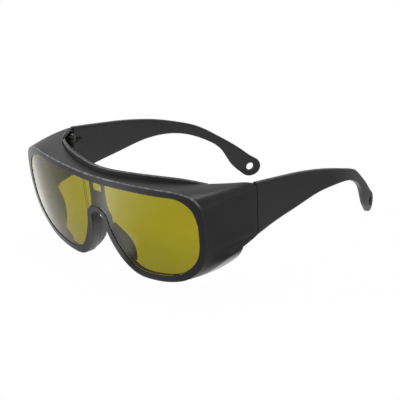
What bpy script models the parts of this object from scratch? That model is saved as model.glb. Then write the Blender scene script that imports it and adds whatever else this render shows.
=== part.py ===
"""Safety glasses that fit over a wearer's own glasses.

A tinted one-piece lens sits in a wrap-round frame with a roof and side shields. A brow guard, cheek guards
and nose pads line the frame, and two temples fold inward on hinge screws. Sizes are in millimetres. The lens
faces -Y, +X is the right side as seen from the front, and the glasses stand on Z = 0 over the origin.
"""

import math

import bmesh
import bpy
import numpy as np

MM = 0.001

# Overall sizes
LENS_WIDTH = 143.4
LENS_HEIGHT = 50.2
OVERALL_DEPTH = 181.0
JOINT_DEPTH = 49.9

# Lens and its seat
LENS_THICKNESS = 2.5
FIT_GAP = 0.3
FRONT_RADIUS_ACROSS = 220.0
FRONT_RADIUS_UPRIGHT = 250.0
FRONT_TILT = 0.043
LENS_TOP_DIP = 1.2

# Front frame
RIM = 4.0
RIM_PROUD = 0.4
RIM_EDGE = 0.8
RIM_DEPTH = 6.0
CORNER_EXTRA = 2.0
NOTCH_EXTRA = 0.8
LEDGE_WIDTH = 1.5
LEDGE_THICKNESS = 1.3
WALL = 2.4
ROOF_DEPTH_CENTRE = 5.8
ROOF_DEPTH_QUARTER = 8.6
ROOF_DEPTH_MIDDLE = 13.5
ROOF_DEPTH_SHOULDER = 21.2
ROOF_DEPTH_CORNER = 36.5
SHIELD_FLARE = 4.3
SHIELD_DROOP = 1.2
SHIELD_LIFT = 3.0
SHIELD_BOW = 1.7
SHIELD_SLOPE_RUN = 15.5
SHIELD_FOOT_DEPTH = 13.0
SHIELD_FOOT_FLARE = 8.0
SHIELD_FOOT_LIFT = 4.6

# Nose notch
NOTCH_HEIGHT = 34.0
NOTCH_SHOULDER = 3.4
NOTCH_TOP_HALF = 7.3
NOTCH_FOOT_HALF = 25.3

# Centre bar and its window
BAR_HALF_WIDTH = 5.7
BAR_FLARE = 1.6
BAR_THICKNESS = 1.5
WINDOW_HALF_WIDTH = 4.2
WINDOW_HEIGHT = 4.9
WINDOW_BELOW_LENS_TOP = 2.8

# Brow guard
BROW_THICKNESS = 2.0
BROW_EDGE = 0.5
BROW_ABOVE_ROOF = 2.6
BROW_BELOW_ROOF = 2.5
BROW_END_SETBACK = 18.0
BROW_END_SINK = 0.5

# Cheek guards
CHEEK_THICKNESS = 1.2
CHEEK_SHOWN = 10.6
CHEEK_SHOWN_ENDS = 1.2
CHEEK_LEAN = -0.04
CHEEK_HIDDEN = 3.0
CHEEK_GAP = 0.6
CHEEK_LIP_GAP = 0.8
CHEEK_FREE_END = 0.15
CHEEK_CLEAR_OF_JOINT = 8.0
CHEEK_CLEAR_OF_NOTCH = 18.0

# Nose pads
PAD_THICKNESS = 2.2
PAD_DEPTH = 5.8
PAD_DEPTH_ENDS = 1.2
PAD_FLARE = 0.15
PAD_BELOW_NOTCH_TOP = 8.8
PAD_INSIDE_FOOT = 5.2

# Hinges
KNUCKLE_RADIUS = 2.4
KNUCKLE_HEIGHT = 3.2
KNUCKLE_GAP = 0.35
KNUCKLE_BELOW_ROOF = 2.07
KNUCKLE_ARM = 6.5
HINGE_SETBACK = 3.5
SCREW_RADIUS = 1.0
SCREW_HEAD_RADIUS = 1.8
SCREW_HEAD_HEIGHT = 1.1
JOINT_GAP = 0.8

# Temples
TEMPLE_THICKNESS = 3.2
TEMPLE_EDGE = 0.7
TEMPLE_ROOT_HEIGHT = 30.0
TEMPLE_BELOW_ROOF = 0.8
TEMPLE_LEAN = 0.06
HOOK_LEAN = 0.5
HOOK_START = 62.0
HOOK_LENGTH = 34.0
ARM_HEIGHT_AT_BEND = 7.2
TIP_RADIUS = 6.3
TIP_SLOPE = math.radians(48)
LANYARD_HOLE = 5.2

# Mesh fineness
HALF_STATIONS = 62
CURVE_STEPS = 24
TEMPLE_STEPS = 4
ROUND_SIDES = 20
CUTTER_OVERRUN = 3.0

# Places worked out from the sizes
LENS_HALF = LENS_WIDTH / 2
LENS_BOTTOM = RIM
LENS_TOP = LENS_BOTTOM + LENS_HEIGHT
ROOF_TOP = LENS_TOP + RIM
SEAT_DEPTH = LENS_THICKNESS + FIT_GAP
LEDGE_REAR = SEAT_DEPTH + LEDGE_THICKNESS
BAR_FRONT = (SEAT_DEPTH + LEDGE_REAR) / 2
BAR_REAR = BAR_FRONT + BAR_THICKNESS
JOINT_HALF = LENS_HALF + RIM + SHIELD_FLARE
BROW_HALF_LENGTH = JOINT_HALF - BROW_END_SETBACK
FRONT_Y = RIM_PROUD - OVERALL_DEPTH / 2
JOINT_Y = JOINT_DEPTH - OVERALL_DEPTH / 2
TEMPLE_FRONT_Y = JOINT_Y + JOINT_GAP
TEMPLE_TOP = ROOF_TOP - TEMPLE_BELOW_ROOF
HINGE_X = JOINT_HALF - TEMPLE_THICKNESS - KNUCKLE_RADIUS - 2 * FIT_GAP
HINGE_Y = JOINT_Y - HINGE_SETBACK
KNUCKLE_STEP = KNUCKLE_HEIGHT + KNUCKLE_GAP
TIP_Y = OVERALL_DEPTH / 2 - TIP_RADIUS


def front_y(x, z):
    """Depth of the lens's front face: a shallow barrel that leans back below."""
    drop = ROOF_TOP - z
    across = x * x / (2 * FRONT_RADIUS_ACROSS)
    upright = FRONT_TILT * drop + drop * drop / (2 * FRONT_RADIUS_UPRIGHT)
    return FRONT_Y + across + upright


def outline_rows():
    """Half of the lens outline, from the top centre round to the top of the nose notch.

    Each row holds the lens edge x and z, the rim's width, how far the wall behind it flares in x and z, and
    the wall's depth. A wall that would pass the joint ends at the joint.
    """
    w, h, b, top = LENS_HALF, LENS_HEIGHT, LENS_BOTTOM, LENS_TOP
    flare, droop, lift = SHIELD_FLARE, SHIELD_DROOP, SHIELD_LIFT
    notch, foot, extra = b + NOTCH_HEIGHT, NOTCH_FOOT_HALF, NOTCH_EXTRA
    slope_depth = JOINT_DEPTH - SHIELD_SLOPE_RUN
    return np.array([
        (0.0, top - LENS_TOP_DIP, RIM, 0.0, 0.0, ROOF_DEPTH_CENTRE),
        (0.335 * w, top - 0.6 * LENS_TOP_DIP, RIM, 0.0, 0.0, ROOF_DEPTH_QUARTER),
        (0.628 * w, top - 0.2 * LENS_TOP_DIP, RIM, 0.0, 0.0, ROOF_DEPTH_MIDDLE),
        (0.837 * w, top, RIM, 0.35 * flare, 0.0, ROOF_DEPTH_SHOULDER),
        (0.953 * w, b + 0.916 * h, RIM + CORNER_EXTRA, flare + droop, lift, ROOF_DEPTH_CORNER),
        (0.996 * w, b + 0.776 * h, RIM + 0.2 * CORNER_EXTRA, flare, lift, JOINT_DEPTH),
        (1.000 * w, b + 0.636 * h, RIM, flare, 0.8 * lift, JOINT_DEPTH),
        (0.983 * w, b + 0.436 * h, RIM, flare + droop, 0.8 * lift, slope_depth),
        (0.927 * w, b + 0.266 * h, RIM, SHIELD_FOOT_FLARE, SHIELD_FOOT_LIFT, SHIELD_FOOT_DEPTH),
        (0.795 * w, b + 0.100 * h, RIM, 0.3 * SHIELD_FOOT_FLARE, 0.25 * lift, 1.2 * RIM_DEPTH),
        (0.628 * w, b + 0.020 * h, RIM, 0.0, 0.0, RIM_DEPTH),
        (foot + 0.16 * (w - foot), b, RIM, 0.0, 0.0, RIM_DEPTH),
        (foot, b + 0.04 * NOTCH_HEIGHT, RIM + 0.5 * extra, 0.0, 0.0, RIM_DEPTH),
        (0.77 * foot, b + 0.17 * NOTCH_HEIGHT, RIM + extra, 0.0, 0.0, RIM_DEPTH),
        (0.56 * foot, b + 0.38 * NOTCH_HEIGHT, RIM + extra, 0.0, 0.0, RIM_DEPTH),
        (0.39 * foot, b + 0.65 * NOTCH_HEIGHT, RIM + 0.4 * extra, 0.0, 0.0, RIM_DEPTH),
        (NOTCH_TOP_HALF, notch - NOTCH_SHOULDER, RIM - 0.75 * extra, 0.0, 0.0, RIM_DEPTH),
        (0.0, notch, RIM - extra, 0.0, 0.0, RIM_DEPTH),
    ])


def curve_through(padded, steps):
    """Points on a smooth curve through all rows but the first and the last, which only steer its ends."""
    curve = []
    for a, b, c, d in zip(padded, padded[1:], padded[2:], padded[3:]):
        for t in np.arange(0, 1, 1 / steps):
            bend = (2 * a - 5 * b + 4 * c - d) * t + (3 * b - a - 3 * c + d) * t * t
            curve.append(b + 0.5 * t * (c - a + bend))
    curve.append(padded[-2])
    return np.array(curve)


def even_outline():
    """The outline's rows at even steps along it, with both ends square to the mirror plane."""
    rows = outline_rows()
    flip = np.array([-1, 1, 1, -1, 1, 1])
    curve = curve_through(np.vstack([rows[1] * flip, rows, rows[-2] * flip]), CURVE_STEPS)
    travelled = np.concatenate([[0], np.cumsum(np.hypot(*np.diff(curve[:, :2], axis=0).T))])
    even = np.linspace(0, travelled[-1], HALF_STATIONS + 1)
    return np.stack([np.interp(even, travelled, column) for column in curve.T], axis=1)


class Station:
    """One cut through the frame, square to the lens outline."""

    def __init__(self, row, normal):
        self.x, self.z, self.rim = row[:3]
        self.normal = normal
        self.edge = np.array([self.x, self.z]) + self.rim * normal
        face_y = front_y(*self.edge)
        self.front_y = face_y + RIM_EDGE - RIM_PROUD
        rear_x = np.clip(self.edge[0] + row[3], -JOINT_HALF, JOINT_HALF)
        self.rear = np.array([rear_x, min(self.edge[1] + row[4], ROOF_TOP)])
        self.depth = row[5]
        self.rear_y = min(face_y + self.depth, JOINT_Y)
        self.bow = 1 + (SHIELD_BOW - 1) * max(1 + 1.3 * min(normal[1], 0), 0)

    def on_rim(self, outward, depth):
        """A point outward from the lens edge, at a depth behind the lens's front face."""
        x, z = np.array([self.x, self.z]) + outward * self.normal
        return (x, front_y(x, z) + depth, z)

    def on_wall(self, y, inward=0.0):
        """A point on the wall behind the rim, or inward from its outer face."""
        share = np.clip((y - self.front_y) / (self.rear_y - self.front_y), 0, 1)
        bowed = 1 - (1 - share) ** self.bow
        x, z = self.edge + (self.rear - self.edge) * bowed - inward * self.normal
        return (x, y, z)


def frame_stations():
    """Stations right round the lens, from the top centre past +X."""
    half = even_outline()
    left = half[-2:0:-1] * np.array([-1, 1, 1, -1, 1, 1])
    loop = np.vstack([half, left])
    travel = np.roll(loop[:, :2], -1, axis=0) - np.roll(loop[:, :2], 1, axis=0)
    travel /= np.hypot(travel[:, 0], travel[:, 1])[:, None]
    normals = np.stack([-travel[:, 1], travel[:, 0]], axis=1)
    return [Station(row, normal) for row, normal in zip(loop, normals)]


def make_material(name, colour, roughness, metallic=0.0, alpha=1.0):
    material = bpy.data.materials.new(name)
    material.use_nodes = True
    shader = material.node_tree.nodes["Principled BSDF"]
    shader.inputs["Base Color"].default_value = (*colour, 1)
    shader.inputs["Roughness"].default_value = roughness
    shader.inputs["Metallic"].default_value = metallic
    shader.inputs["Alpha"].default_value = alpha
    return material


def add_mesh(name, points, faces, material=None, origin=(0, 0, 0)):
    """A named object with its faces turned outward and its origin at a given place."""
    mesh = bpy.data.meshes.new(name)
    local = (np.asarray(points, float) - np.asarray(origin, float)) * MM
    mesh.from_pydata(local.tolist(), [], faces)
    body = bmesh.new()
    body.from_mesh(mesh)
    bmesh.ops.recalc_face_normals(body, faces=body.faces)
    body.to_mesh(mesh)
    body.free()
    obj = bpy.data.objects.new(name, mesh)
    obj.location = np.asarray(origin, float) * MM
    bpy.context.collection.objects.link(obj)
    if material:
        mesh.materials.append(material)
        mesh.shade_smooth()
        mesh.set_sharp_from_angle(angle=math.radians(35))
    return obj


def loft(sections, closed=False, turned=0):
    """Points and faces of a skin through closed sections, with end caps unless the run is closed.

    Faces of the first turned rows start a corner later, so that two mirrored halves split as mirror images.
    """
    rows, size = len(sections), len(sections[0])
    points = [point for section in sections for point in section]
    faces = []
    for i in range(rows if closed else rows - 1):
        here, there = i * size, (i + 1) % rows * size
        for j in range(size):
            k = (j + 1) % size
            face = [here + j, here + k, there + k, there + j]
            faces.append(tuple(face[1:] + face[:1] if i < turned else face))
    if not closed:
        faces.append(tuple(range(size)))
        faces.append(tuple(range((rows - 1) * size, rows * size)))
    return points, faces


def on_side(sections, side):
    """Sections of the +X piece, mirrored for side -1."""
    return [[(side * x, y, z) for x, y, z in section] for section in sections]


def prism(outline, low, high, side=1):
    """An upright prism over an outline in plan."""
    return loft(on_side([[(x, y, z) for x, y in outline] for z in (low, high)], side))


def circle(centre, radius, start=0.0, turn=2 * math.pi):
    """Points on an arc in plan, without the last one on a full turn."""
    steps = ROUND_SIDES if turn >= 2 * math.pi else ROUND_SIDES + 1
    angles = [start + turn * i / ROUND_SIDES for i in range(steps)]
    return [(centre[0] + radius * math.cos(a), centre[1] + radius * math.sin(a)) for a in angles]


def combine(body, operation, name, shape):
    """Joins a helper shape to a body or cuts it away."""
    helper = add_mesh(name, *shape)
    helper.hide_render = True
    helper.display_type = "WIRE"
    modifier = body.modifiers.new(name, "BOOLEAN")
    modifier.operation = operation
    modifier.object = helper


def frame_section(station):
    """Outline of the frame at one station: rim, wall, ledge and lens seat."""
    rim = station.rim
    points = [
        station.on_rim(FIT_GAP, -RIM_PROUD),
        station.on_rim(rim - RIM_EDGE, -RIM_PROUD),
        station.on_rim(rim, RIM_EDGE - RIM_PROUD),
    ]
    depth = station.rear_y - station.front_y
    points += [station.on_wall(station.front_y + share * depth) for share in (0.3, 0.6, 0.85, 1.0)]
    corner_y = station.on_rim(rim - WALL, LEDGE_REAR)[1]
    for share in (1.0, 0.65, 0.3, 0.0):
        points.append(station.on_wall(corner_y + share * (station.rear_y - corner_y), WALL))
    points += [
        station.on_rim(-LEDGE_WIDTH, LEDGE_REAR),
        station.on_rim(-LEDGE_WIDTH, SEAT_DEPTH),
        station.on_rim(FIT_GAP, SEAT_DEPTH),
    ]
    return points


def bar_shape():
    """The upright bar between the two halves of the opening, wider at its ends, let into the ledge."""
    low = LENS_BOTTOM + NOTCH_HEIGHT - RIM / 2
    high = LENS_TOP + RIM / 4
    sections = []
    for z in np.linspace(low, high, 7):
        from_middle = (2 * z - low - high) / (high - low)
        half = BAR_HALF_WIDTH + BAR_FLARE * from_middle ** 4
        front = [(x, front_y(x, z) + BAR_FRONT, z) for x in np.linspace(-half, half, 5)]
        rear = [(x, y + BAR_THICKNESS, z) for x, y, z in reversed(front)]
        sections.append(front + rear)
    return loft(sections)


def window_shape():
    """A cutter for the small window in the bar, from before the lens to behind the bar."""
    top = LENS_TOP - WINDOW_BELOW_LENS_TOP
    half = WINDOW_HALF_WIDTH
    rear = FRONT_Y + LEDGE_REAR + BAR_THICKNESS + CUTTER_OVERRUN
    outline = [(-half, FRONT_Y), (half, FRONT_Y), (half, rear), (-half, rear)]
    return prism(outline, top - WINDOW_HEIGHT, top)


def frame_knuckle_plan():
    """A round barrel with an arm out to the side shield."""
    arm_x = JOINT_HALF - WALL / 2
    barrel = circle((HINGE_X, HINGE_Y), KNUCKLE_RADIUS, math.pi / 2, math.pi)
    return barrel + [(arm_x, HINGE_Y - KNUCKLE_RADIUS), (arm_x, HINGE_Y + KNUCKLE_RADIUS)]


def temple_knuckle_plan():
    """A round barrel with an arm back to the inner face of the temple."""
    arm_x = JOINT_HALF - TEMPLE_THICKNESS / 2
    start = TEMPLE_FRONT_Y + FIT_GAP
    barrel = circle((HINGE_X, HINGE_Y), KNUCKLE_RADIUS, math.pi, math.pi)
    return barrel + [(HINGE_X + KNUCKLE_RADIUS, start), (arm_x, start), (arm_x, start + KNUCKLE_ARM),
                     (HINGE_X - KNUCKLE_RADIUS, start)]


def knuckle_top(stations):
    """Top of the upper knuckle, below the inside of the roof where the screw's head comes nearest to it."""
    inside = np.array([s.on_wall(HINGE_Y - SCREW_HEAD_RADIUS, WALL) for s in stations[:HALF_STATIONS + 1]])
    roof = inside[:int(np.argmax(inside[:, 0])) + 1]
    over_head = np.interp(HINGE_X + SCREW_HEAD_RADIUS, roof[:, 0], roof[:, 2])
    return float(over_head) - KNUCKLE_BELOW_ROOF


def knuckle_span(top, index):
    """Lowest and highest point of a knuckle, counted from the top one down."""
    high = top - index * KNUCKLE_STEP
    return high - KNUCKLE_HEIGHT, high


def bore_shape(top, side):
    """A cutter for the screw's hole through all three knuckles."""
    bore = circle((HINGE_X, HINGE_Y), SCREW_RADIUS + FIT_GAP)
    low = knuckle_span(top, 2)[0]
    return prism(bore, low - CUTTER_OVERRUN, top + CUTTER_OVERRUN, side)


def make_front_frame(stations, top):
    black = make_material("black_frame", (0.012, 0.012, 0.013), 0.42)
    shape = loft([frame_section(station) for station in stations], closed=True, turned=HALF_STATIONS)
    frame = add_mesh("front_frame", *shape, black)
    combine(frame, "UNION", "centre_bar", bar_shape())
    combine(frame, "DIFFERENCE", "bar_window", window_shape())
    for side, end in ((1, "right"), (-1, "left")):
        for index in (0, 2):
            knuckle = prism(frame_knuckle_plan(), *knuckle_span(top, index), side)
            combine(frame, "UNION", f"frame_knuckle_{index}_{end}", knuckle)
        combine(frame, "DIFFERENCE", f"frame_bore_{end}", bore_shape(top, side))


def lens_columns(stations):
    """Matching points on the lower and upper edges of the lens, from one side to the other."""
    edge = np.array([(s.x, s.z) for s in stations[:HALF_STATIONS + 1]])
    widest = int(np.argmax(edge[:, 0]))
    upper, lower = edge[:widest + 1], edge[widest + 1:][::-1]
    top = np.interp(lower[:, 0], upper[:, 0], upper[:, 1])
    right = np.column_stack([lower[:, 0], lower[:, 1], top])
    left = right[:0:-1] * np.array([-1, 1, 1])
    return np.vstack([left, right])


def make_filter_lens(stations):
    olive = make_material("olive_filter", (0.30, 0.26, 0.013), 0.05, alpha=0.6)
    sections = []
    for x, low, high in lens_columns(stations):
        rows = np.linspace(low, high, 7)
        front = [(x, front_y(x, z), z) for z in rows]
        back = [(x, front_y(x, z) + LENS_THICKNESS, z) for z in rows[::-1]]
        sections.append(front + back)
    add_mesh("filter_lens", *loft(sections), olive)


def make_brow_guard(stations):
    """A strip on the rear edge of the roof, tallest at the middle."""
    black = make_material("black_brow", (0.02, 0.02, 0.021), 0.6)
    run = [s for s in stations if s.normal[1] > 0.5 and abs(s.rear[0]) < BROW_HALF_LENGTH]
    run.sort(key=lambda s: s.rear[0])
    sections = []
    for station in run:
        fade = 1 - (station.rear[0] / BROW_HALF_LENGTH) ** 6
        top = BROW_END_SINK - (BROW_EDGE + BROW_ABOVE_ROOF + BROW_END_SINK) * fade
        foot = WALL + BROW_BELOW_ROOF * fade
        bar_y = station.on_rim(station.rim - foot, BAR_REAR)[1]
        near = max(station.rear_y, bar_y) + FIT_GAP
        far = near + BROW_THICKNESS
        spots = [(near, foot), (near, top + BROW_EDGE), (near + BROW_EDGE, top),
                 (far - BROW_EDGE, top), (far, top + BROW_EDGE), (far, foot)]
        sections.append([station.on_wall(y, inward) for y, inward in spots])
    add_mesh("brow_guard", *loft(sections), black)


def make_cheek_guard(stations, side, end, colour):
    """A flap inside the lower edge of a side shield that runs on behind it, widest near the joint."""
    lower = [s for s in stations[:HALF_STATIONS + 1] if s.z < LENS_BOTTOM + LENS_HEIGHT / 2]
    run = [s for s in lower if s.x > NOTCH_FOOT_HALF + CHEEK_CLEAR_OF_NOTCH]
    run = [s for s in run if s.rear_y < JOINT_Y - CHEEK_CLEAR_OF_JOINT]
    outer = WALL + CHEEK_GAP
    inner = outer + CHEEK_THICKNESS
    rears = np.array([(*s.rear, s.rear_y) for s in run])
    x_step, z_step, y_step = np.gradient(rears, axis=0).T
    lips = rears[:, 2] + CHEEK_LIP_GAP * np.hypot(1, y_step / np.hypot(x_step, z_step))
    sections = []
    for i, (station, lip) in enumerate(zip(run, lips)):
        along = i / (len(run) - 1)
        shown = CHEEK_SHOWN_ENDS + (CHEEK_SHOWN - CHEEK_SHOWN_ENDS) * 13.2 * along ** 1.2 * (1 - along) ** 3.2
        ledge_y = station.on_rim(station.rim - WALL, LEDGE_REAR)[1]
        tucked = max(station.rear_y - CHEEK_HIDDEN, ledge_y + FIT_GAP)
        start = lip + (tucked - lip) * np.clip((along - CHEEK_FREE_END) / CHEEK_FREE_END, 0.2, 1)
        stop, lean = lip + shown, CHEEK_LEAN * shown
        sections.append([station.on_wall(start, outer), station.on_wall(lip, outer), station.on_wall(lip),
                         station.on_wall(stop, lean), station.on_wall(stop, lean + CHEEK_THICKNESS),
                         station.on_wall(lip + CHEEK_THICKNESS, inner), station.on_wall(start, inner)])
    add_mesh(f"cheek_guard_{end}", *loft(on_side(sections, side)), colour)


def make_nose_pad(stations, side, end, colour):
    """A soft wing behind one edge of the nose notch."""
    half = stations[:HALF_STATIONS + 1]
    top = LENS_BOTTOM + NOTCH_HEIGHT - PAD_BELOW_NOTCH_TOP
    run = [s for s in half if s.x < NOTCH_FOOT_HALF - PAD_INSIDE_FOOT and s.z < top]
    sections = []
    for i, station in enumerate(run):
        swell = math.sin(math.pi * (i / (len(run) - 1)) ** 0.85)
        depth = PAD_DEPTH_ENDS + (PAD_DEPTH - PAD_DEPTH_ENDS) * swell
        start = station.rear_y + FIT_GAP
        steps = [(start + share * depth, FIT_GAP + PAD_FLARE * share * depth) for share in (0.0, 0.5, 1.0)]
        nose_face = [station.on_wall(y, inward) for y, inward in steps]
        eye_face = [station.on_wall(y, inward + PAD_THICKNESS) for y, inward in steps]
        sections.append(nose_face + eye_face[::-1])
    add_mesh(f"nose_pad_{end}", *loft(on_side(sections, side)), colour)


def make_hinge_screw(top, side, end, colour):
    """A headed screw from the top knuckle down through the lowest."""
    seat = top + FIT_GAP
    levels = [(SCREW_RADIUS, knuckle_span(top, 2)[0]), (SCREW_RADIUS, seat), (SCREW_HEAD_RADIUS, seat),
              (SCREW_HEAD_RADIUS, seat + SCREW_HEAD_HEIGHT)]
    sections = [[(x, y, z) for x, y in circle((HINGE_X, HINGE_Y), radius)] for radius, z in levels]
    add_mesh(f"hinge_screw_{end}", *loft(on_side(sections, side)), colour)


def temple_x(y):
    """Outer face of the +X temple in plan: nearly straight, then leaning in behind the ear bend."""
    run = y - JOINT_Y
    past = min(max(run - HOOK_START, 0), HOOK_LENGTH)
    beyond = max(run - HOOK_START - HOOK_LENGTH, 0)
    turn = HOOK_LEAN - TEMPLE_LEAN
    return JOINT_HALF - TEMPLE_LEAN * run - turn * (past * past / (2 * HOOK_LENGTH) + beyond)


def temple_point(y, z, inward):
    """A point at a depth inward from the temple's outer face."""
    step = 0.01
    slope = (temple_x(y + step) - temple_x(y - step)) / (2 * step)
    length = math.hypot(1, slope)
    return (temple_x(y) - inward / length, y + inward * slope / length, z)


def temple_edges():
    """Matching points on the upper and lower edges of a temple, from the joint to the round tip."""
    root, run, bend = TEMPLE_FRONT_Y, TIP_Y - TEMPLE_FRONT_Y, ARM_HEIGHT_AT_BEND
    top, low = TEMPLE_TOP, TEMPLE_TOP - TEMPLE_ROOT_HEIGHT
    drop = top - TIP_RADIUS
    along = np.array([math.cos(TIP_SLOPE), -math.sin(TIP_SLOPE)])
    across = np.array([math.sin(TIP_SLOPE), math.cos(TIP_SLOPE)])
    tip = np.array([TIP_Y, TIP_RADIUS])
    upper = [(root, top), (root + 0.152 * run, top - 0.041 * drop), (root + 0.314 * run, top - 0.09 * drop),
             (root + 0.476 * run, top - 0.165 * drop), (root + 0.622 * run, top - 0.263 * drop),
             (root + 0.752 * run, top - 0.38 * drop), (root + 0.857 * run, top - 0.555 * drop),
             (root + 0.942 * run, top - 0.717 * drop), tuple(tip + TIP_RADIUS * (0.814 * across - along)),
             tuple(tip + TIP_RADIUS * across)]
    lower = [(root, low), (root + 0.116 * run, low + 0.065 * drop), (root + 0.266 * run, low + 0.125 * drop),
             (root + 0.428 * run, low + 0.186 * drop), (root + 0.574 * run, upper[4][1] - bend),
             (root + 0.687 * run, upper[5][1] - 0.548 * bend),
             (root + 0.785 * run, upper[6][1] - 0.086 * bend),
             (root + 0.857 * run, upper[7][1] + 0.053 * bend),
             tuple(tip - TIP_RADIUS * (across + 1.5 * along)), tuple(tip - TIP_RADIUS * across)]
    pairs = list(zip(*[open_curve(np.array(points), TEMPLE_STEPS) for points in (upper, lower)]))
    for angle in np.radians(np.arange(78, 5, -12)):
        centre = tip + TIP_RADIUS * math.cos(angle) * along
        reach = TIP_RADIUS * math.sin(angle) * across
        pairs.append((centre + reach, centre - reach))
    return pairs


def open_curve(points, steps):
    """Points on a smooth curve through an open run of points."""
    return curve_through(np.vstack([2 * points[0] - points[1], points, 2 * points[-1] - points[-2]]), steps)


def temple_section(upper, lower):
    """A flat section with eased edges between matching points of the two edges."""
    height = float(np.hypot(*(upper - lower)))
    ease = min(TEMPLE_EDGE, 0.3 * height)
    shares = [ease / height, 0.35, 0.65, 1 - ease / height]
    thick = TEMPLE_THICKNESS
    spots = [(share, 0.0) for share in shares] + [(1.0, ease), (1.0, thick - ease)]
    spots += [(share, thick) for share in reversed(shares)] + [(0.0, thick - ease), (0.0, ease)]
    return [temple_point(*(lower + share * (upper - lower)), inward) for share, inward in spots]


def lanyard_shape(side):
    """A round cutter through the tip, square to its faces."""
    length = math.hypot(1, HOOK_LEAN)
    ring = circle((0, 0), LANYARD_HOLE / 2)
    sections = []
    for inward in (-CUTTER_OVERRUN, TEMPLE_THICKNESS + CUTTER_OVERRUN):
        x, y, z = temple_point(TIP_Y, TIP_RADIUS, inward)
        sections.append([(x - a * HOOK_LEAN / length, y + a / length, z + b) for a, b in ring])
    return loft(on_side(sections, side))


def make_temple(top, side, end, colour):
    """A flat arm with one hinge knuckle, its origin on the hinge axis."""
    sections = [temple_section(*pair) for pair in temple_edges()]
    origin = (side * HINGE_X, HINGE_Y, 0)
    temple = add_mesh(f"temple_{end}", *loft(on_side(sections, side)), colour, origin)
    knuckle = prism(temple_knuckle_plan(), *knuckle_span(top, 1), side)
    combine(temple, "UNION", f"temple_knuckle_{end}", knuckle)
    combine(temple, "DIFFERENCE", f"temple_bore_{end}", bore_shape(top, side))
    combine(temple, "DIFFERENCE", f"lanyard_hole_{end}", lanyard_shape(side))


def main():
    for obj in list(bpy.data.objects):
        bpy.data.objects.remove(obj, do_unlink=True)
    stations = frame_stations()
    hinge_top = knuckle_top(stations)
    make_front_frame(stations, hinge_top)
    make_filter_lens(stations)
    make_brow_guard(stations)
    cheek = make_material("black_cheek", (0.012, 0.012, 0.013), 0.25)
    pad = make_material("grey_nose_pad", (0.05, 0.05, 0.052), 0.5)
    steel = make_material("screw_steel", (0.12, 0.12, 0.125), 0.35, metallic=1.0)
    black = make_material("black_temple", (0.012, 0.012, 0.013), 0.45)
    for side, end in ((1, "right"), (-1, "left")):
        make_cheek_guard(stations, side, end, cheek)
        make_nose_pad(stations, side, end, pad)
        make_hinge_screw(hinge_top, side, end, steel)
        make_temple(hinge_top, side, end, black)


main()
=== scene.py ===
import math

import bmesh
import bpy
import numpy as np
from mathutils import Matrix, Vector


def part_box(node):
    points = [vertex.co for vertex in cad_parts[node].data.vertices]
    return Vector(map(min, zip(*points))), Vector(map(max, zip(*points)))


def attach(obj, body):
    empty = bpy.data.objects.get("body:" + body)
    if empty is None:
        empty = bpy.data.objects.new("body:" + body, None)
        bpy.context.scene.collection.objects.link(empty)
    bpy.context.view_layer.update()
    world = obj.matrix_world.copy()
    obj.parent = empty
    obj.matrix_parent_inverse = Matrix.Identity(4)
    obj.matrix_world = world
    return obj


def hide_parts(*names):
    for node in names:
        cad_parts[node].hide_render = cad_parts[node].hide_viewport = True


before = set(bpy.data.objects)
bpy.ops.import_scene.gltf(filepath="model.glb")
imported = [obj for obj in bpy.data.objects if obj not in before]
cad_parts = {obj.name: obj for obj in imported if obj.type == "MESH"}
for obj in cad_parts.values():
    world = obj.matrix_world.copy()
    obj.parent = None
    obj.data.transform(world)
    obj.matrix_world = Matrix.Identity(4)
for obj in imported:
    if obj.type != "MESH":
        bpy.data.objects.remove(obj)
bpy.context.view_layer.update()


# Front frame: one black nylon moulding that carries every other piece. Rim, roof and side shields are one
# skin, drawn as cuts square to the lens outline. Sizes are millimetres until a mesh is made from them.
MM = 0.001
frame_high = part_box("front_frame")[1] / MM
lens_low, lens_high = (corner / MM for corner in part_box("filter_lens"))
joint_half, joint_y = frame_high.x, frame_high.y
lens_half, lens_bottom, lens_height = lens_high.x, lens_low.z, 50.2
lens_top = lens_bottom + lens_height
rim_width = 4.0
roof_top = lens_top + rim_width
joint_depth, lens_setback = 49.9, 0.4
face_y = joint_y - joint_depth + lens_setback
barrel_across, barrel_upright, barrel_tilt = 220.0, 250.0, 0.043
lens_gap = -0.1
rim_proud, rim_round, rim_depth = 0.4, 0.8, 6.0
seat_depth, ledge_rear, ledge_width = 2.52, 4.1, 0.9
wall, wall_bow = 2.4, 1.7
notch_height, notch_foot, notch_top_half = 34.0, 25.3, 7.3
highlight_start, highlight_span, rub_least = 0.35, 0.4, 0.06
around_half = 250


def lens_face_y(x, z):
    """Depth of the lens's front face: a shallow barrel that leans back below."""
    drop = roof_top - z
    return face_y + x * x / (2 * barrel_across) + barrel_tilt * drop + drop * drop / (2 * barrel_upright)


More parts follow.
